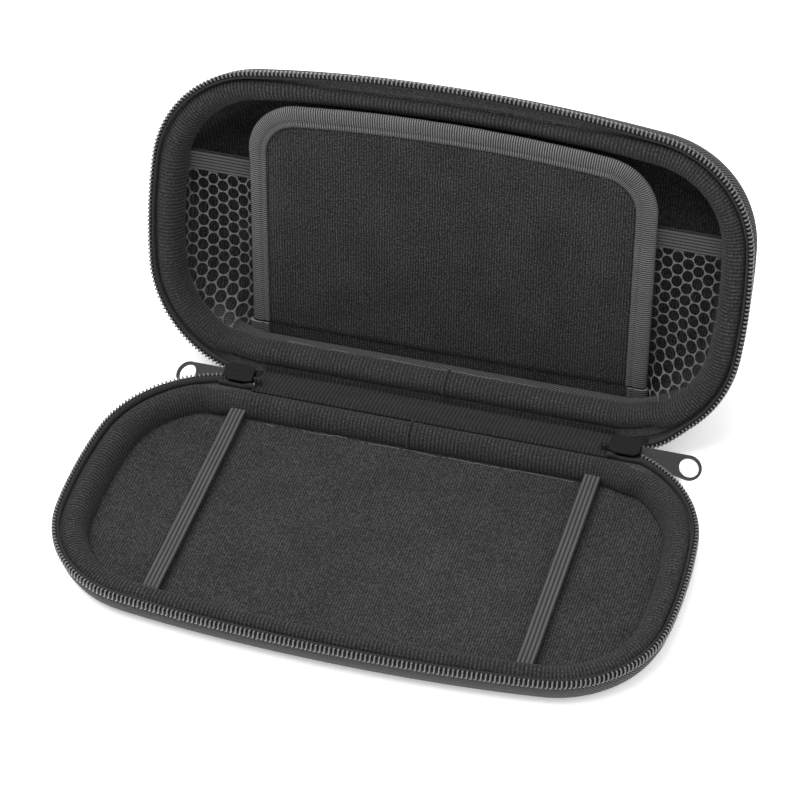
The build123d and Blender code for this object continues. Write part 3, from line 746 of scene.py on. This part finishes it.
edgeLength = float(flapEdge(0.0)[4])
t = np.linspace(0.2, edgeLength - 0.2, int(edgeLength / f["ribPitch"]) * f["perRib"])
u, v, nu, nv, _ = flapEdge(t)
ribs = f["ribRise"] * np.cos(2 * np.pi * t / f["ribPitch"]) + f["uneven"] * smoothNoise(t, 7.0, 9.0)
tuck = np.clip((f["tuckTo"] - t) / f["tuckReach"], 0, 1)  # the left edge is folded a little narrower
binding = sweepEdge("flap_binding_tape", flapPanel, u + f["tuckShift"] * tuck, v, nu, nv, t, ribs,
                    1 - f["tuckNarrow"] * tuck)
parts = [binding]
for hand in (-1, 1):
    # the binding's tails run on below the fold, on the hem
    t = np.linspace(0, f["tail"], 30)
    flat = np.full_like(t, hand)
    ribs = f["ribRise"] * np.cos(2 * np.pi * t / f["ribPitch"])
    parts.append(sweepEdge("tail", stripPanel, flat * (f["halfWidth"] + 0.6), -0.7 - t, flat, 0 * t, t, ribs,
                           np.ones_like(t)))
bpy.ops.object.select_all(action="DESELECT")
for part in parts:
    part.select_set(True)
bpy.context.view_layer.objects.active = binding
bpy.ops.object.join()
faceOutward(binding)
finishPiece(binding, "lid", bindingTape, "binding", "flap_binding")

# hem strip by which the flap hangs in the lid
u = np.linspace(-f["halfWidth"] + 0.5, f["halfWidth"] - 0.5, 140)
v = np.linspace(0.4, -f["stripLength"], 26)
w = f["stripWall"] / 2
bulge = f["stripBulge"] * np.sin(np.pi * np.linspace(0, 1, 26))
ripple = clothNoise(u[:, None], v[None, :], 22.0, 9.0, 5.1)
shorter = f["cut"] * smoothStep((np.abs(u) - f["cutFrom"]) / f["cutReach"])  # towards its lower corners
fall = v[None, :] * (1 - shorter)[:, None]
frontGrid = onPanel(stripPanel, u[:, None], fall, w + bulge[None, :] + f["stripRipple"] * ripple)
backGrid = onPanel(stripPanel, u[:, None], fall, -w + 0 * ripple)
grid = np.concatenate([frontGrid, backGrid[:, ::-1]], 1)
strip = clothMesh("flap_strip_knit", grid, u, np.concatenate([v, v[::-1], v[:1]]), False, True, False, True)
finishPiece(strip, "lid", flapKnit, "lining_knit", "flap_strip")
print("flap made")

# Mesh pocket: knitted net with round gaps, and a ribbed elastic band along its mouth
netForm = {
    "behind": 3.15, "rise": 63.3, "tail": 11.0, "column": 4.05, "step": 5.35, "yarn": 0.15, "drift": 0.5,
    "wallInset": 6.4, "edgeDepth": 13.5, "edgeReach": 26.0,
    "halfWidth": 109.0, "bandWidth": 8.4, "bandWall": 1.8, "bandRibs": 6,
}
netPanel = (flapPanel[0] - netForm["behind"] * flapPanel[2], flapPanel[1], flapPanel[2])
wallX, wallY, wallNx, wallNy = rimAt(np.linspace(0, rimHalf, 900))
wallX, wallY = wallX - wallNx * netForm["wallInset"], wallY - wallNy * netForm["wallInset"]


def lidPlace(v):
    # the closed lid's y and depth at a height on the pocket's panel
    point = netPanel[0] + v * netPanel[1]
    y, z = point[1] - hingeY, point[2] - hingeZ
    closedY = hingeY + y * math.cos(openAngle) - z * math.sin(openAngle)
    return closedY, y * math.sin(openAngle) + z * math.cos(openAngle) - caseForm["hingeDrop"]


def lidRoom(v):
    # half width inside the lining at that height
    return np.interp(-lidPlace(v)[0], -wallY, wallX)


def netLift(u, v):
    # how far the net's side edge comes forward, from its panel to the foot of the roll
    closedY, depth = lidPlace(v)
    toWall = np.min(np.hypot(wallX - abs(u), wallY - closedY))
    beside = smoothStep((abs(u) - flapForm["halfWidth"] + 2.0) / 8.0)
    return max(0.0, depth - netForm["edgeDepth"]) * smoothStep(1 - toWall / netForm["edgeReach"]) * beside


column, step = netForm["column"], netForm["step"]
corners = [(2 / 3 * column, 0), (column / 3, step / 2), (-column / 3, step / 2),
           (-2 / 3 * column, 0), (-column / 3, -step / 2), (column / 3, -step / 2)]
cells, points, lookup = [], [], {}
for across in range(-30, 31):
    for upward in range(-4, 17):
        cu, cv = across * column, (upward + 0.5 * (across % 2)) * step + 1.0
        if not -netForm["tail"] < cv < netForm["rise"] + 2.5 or abs(cu) > lidRoom(cv) - 0.5:
            continue
        cell = []
        for du, dv in corners:
            pu, pv = cu + du, cv + dv
            key = (round(pu, 2), round(pv, 2))
            if key not in lookup:
                lookup[key] = len(points)
                points.append((pu, pv))
            cell.append(lookup[key])
        cells.append(cell)
points = np.array(points)
drift = [netForm["drift"] * clothNoise(points[:, 0], points[:, 1], 9.0, 9.0, seed) for seed in (0.2, 5.2, 9.7)]
forward = np.array([netLift(a, b) for a, b in points])
where = onPanel(netPanel, points[:, 0] + drift[0], points[:, 1] + drift[1], -0.4 + drift[2] + forward)
net = linkMesh("mesh_pocket_net", where, cells)
bpy.ops.object.select_all(action="DESELECT")
bpy.context.view_layer.objects.active = net
net.select_set(True)
wire = net.modifiers.new("yarn", "WIREFRAME")
wire.thickness, wire.use_even_offset, wire.use_boundary = netForm["yarn"] * mm, True, True
bpy.ops.object.modifier_apply(modifier="yarn")
smooth = net.modifiers.new("soft", "SUBSURF")
smooth.levels = smooth.render_levels = 1
bpy.ops.object.modifier_apply(modifier="soft")
bpy.ops.object.shade_smooth()
finishPiece(net, "lid", netYarn, "net", "mesh_panel")

u = np.linspace(-netForm["halfWidth"], netForm["halfWidth"], 260)
across = np.linspace(0, 1, 61)
ridge = np.abs(np.sin(np.pi * netForm["bandRibs"] * across)) ** 0.4
face = 0.5 * netForm["bandWall"] - 0.35 * (1 - ridge)
ringV = np.concatenate([across, across[::-6]]) * netForm["bandWidth"] + netForm["rise"]
ringW = np.concatenate([face, np.full(len(across[::-6]), -0.5 * netForm["bandWall"])]) - 0.4
sway = 0.5 * smoothNoise(u, 30.0, 6.0)
grid = onPanel(netPanel, u[:, None], ringV[None] + sway[:, None], ringW[None] + 0.4 * sway[:, None])
around = (np.append(ringV, ringV[0]) - netForm["rise"]) / netForm["bandWidth"] * 2.0 * netForm["bandRibs"] + 1.0
band = clothMesh("mesh_band_elastic", grid, u - u[0], around, False, True, False, True)
finishPiece(band, "lid", elasticTape, "elastic", "mesh_band")
print("pocket made:", len(cells), "net cells")

# Cloth hinge: a knit band between the rolls inside, a woven cover outside
hingeForm = {
    "ends": (-68.7, 74.7), "innerY": 60.2, "outerY": 63.4, "rimDepth": 4.0, "overlap": 1.4,
    "wall": 1.0, "coverWall": 0.8, "stations": 560, "ripple": 0.25, "ribRise": 0.1,
}


def hingeRing(points, wall):
    # section of the cloth across the hinge: one face there, the other back
    knots = np.array(points)
    length = np.concatenate([[0], np.cumsum(np.linalg.norm(np.diff(knots, axis=0), axis=1))])
    fine = np.linspace(0, length[-1], 36)
    line = np.stack([np.interp(fine, length, knots[:, k]) for k in (0, 1)], 1)
    for _ in range(3):
        line[1:-1] = (line[:-2] + 2 * line[1:-1] + line[2:]) / 4
    t = np.gradient(line, axis=0)
    t /= np.linalg.norm(t, axis=1)[:, None]
    out = np.stack([-t[:, 1], t[:, 0]], 1) * wall
    return length, fine, out, np.concatenate([line, (line + out)[::-1]])


def makeHinge(name, points, wall, material, slot, node, seed):
    length, fine, out, ring = hingeRing(points, wall)
    x = np.linspace(*hingeForm["ends"], hingeForm["stations"])
    ripple = hingeForm["ripple"] * clothNoise(x[:, None], fine[None, :], 16.0, 5.0, seed)
    ribs = hingeForm["ribRise"] * np.cos(2 * np.pi * x / rollForm["ribPitch"])[:, None]
    shift = np.concatenate([ripple * 0, (ripple + ribs)[:, ::-1]], 1)
    normal = np.concatenate([out, out[::-1]]) / wall
    y, z = (ring[None, :, k] + shift * normal[None, :, k] for k in (0, 1))
    grid = np.stack(np.broadcast_arrays(x[:, None], y, z), -1) * mm
    piece = clothMesh(name, grid, x, np.append(np.concatenate([fine, fine[::-1]]), 0), False, True, False, True)
    faceOutward(piece)
    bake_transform(piece)
    finishPiece(piece, None, material, slot, node)


def lidSide(y, depth):
    # the open lid's y and z for the closed lid's y and depth
    return tuple(inLid(np.float64(0), np.float64(y), np.float64(depth))[1:] / mm)


f = hingeForm
rimZ = caseForm["baseHeight"] - f["rimDepth"]
baseEdge, lidEdge = (f["outerY"], rimZ), lidSide(f["outerY"], f["rimDepth"])
bandLine = [(f["innerY"], rimZ), baseEdge, lidEdge, lidSide(f["innerY"], f["rimDepth"])]
coverLine = [(f["outerY"], rimZ - f["overlap"]), baseEdge, lidEdge,
             lidSide(f["outerY"], f["rimDepth"] + f["overlap"])]
makeHinge("hinge_band_knit", bandLine, f["wall"], shadedHingeKnit, "roll_knit", "hinge_band", 2.2)
makeHinge("hinge_cover_twill", coverLine, -f["coverWall"], zipTwill, "shell_cloth", "hinge_cover", 7.2)
print("hinge made")

# Pale table and soft light
stageForm = {"table": "#fdfdfd", "glow": 0.28, "world": 0.75, "key": 30.0, "fill": 6.0}
bpy.ops.object.select_all(action="DESELECT")
bpy.ops.mesh.primitive_plane_add(size=6, location=(0, 0.05, -0.0002))
table = bpy.context.object
table.name = "table"
boardFinish = {"Roughness": 0.9, "Specular IOR Level": 0.1}
tableTop, tree, shader, place = startMaterial("coated board, matt white", boardFinish, False)
shader.inputs["Base Color"].default_value = fromHex(stageForm["table"])
shader.inputs["Emission Color"].default_value = fromHex(stageForm["table"])
shader.inputs["Emission Strength"].default_value = stageForm["glow"]
table.data.materials.append(tableTop)
world = bpy.data.worlds.new("studio")
bpy.context.scene.world = world
world.use_nodes = True
world.node_tree.nodes["Background"].inputs["Color"].default_value = (1, 1, 1, 1)
world.node_tree.nodes["Background"].inputs["Strength"].default_value = stageForm["world"]
for name, power, size, at in (("key", stageForm["key"], 1.3, (-0.35, -0.15, 1.5)),
                              ("fill", stageForm["fill"], 1.2, (0.9, -0.7, 1.1))):
    bpy.ops.object.light_add(type="AREA", location=at)
    lamp = bpy.context.object
    lamp.name = name
    lamp.data.energy, lamp.data.size = power, size
    lamp.rotation_euler = (Vector((0, 0.05, 0.03)) - Vector(at)).to_track_quat("-Z", "Y").to_euler()
bpy.context.scene.view_settings.view_transform = "Standard"
bpy.context.scene.view_settings.look = "None"

# Camera, fitted to the photograph's frame of 800 by 800
cameraForm = {"place": (258.314, -736.697, 798.569), "turn": (47.18883, 1.678516, 16.892173), "lens": 133.594}
bpy.ops.object.camera_add(location=[v * mm for v in cameraForm["place"]],
                          rotation=[math.radians(v) for v in cameraForm["turn"]])
camera = bpy.context.object
camera.data.lens, camera.data.sensor_width = cameraForm["lens"], 36.0
camera.data.clip_start, camera.data.clip_end = 0.05, 20.0
camera.data.dof.use_dof = False
bpy.context.scene.camera = camera
print("stage set")
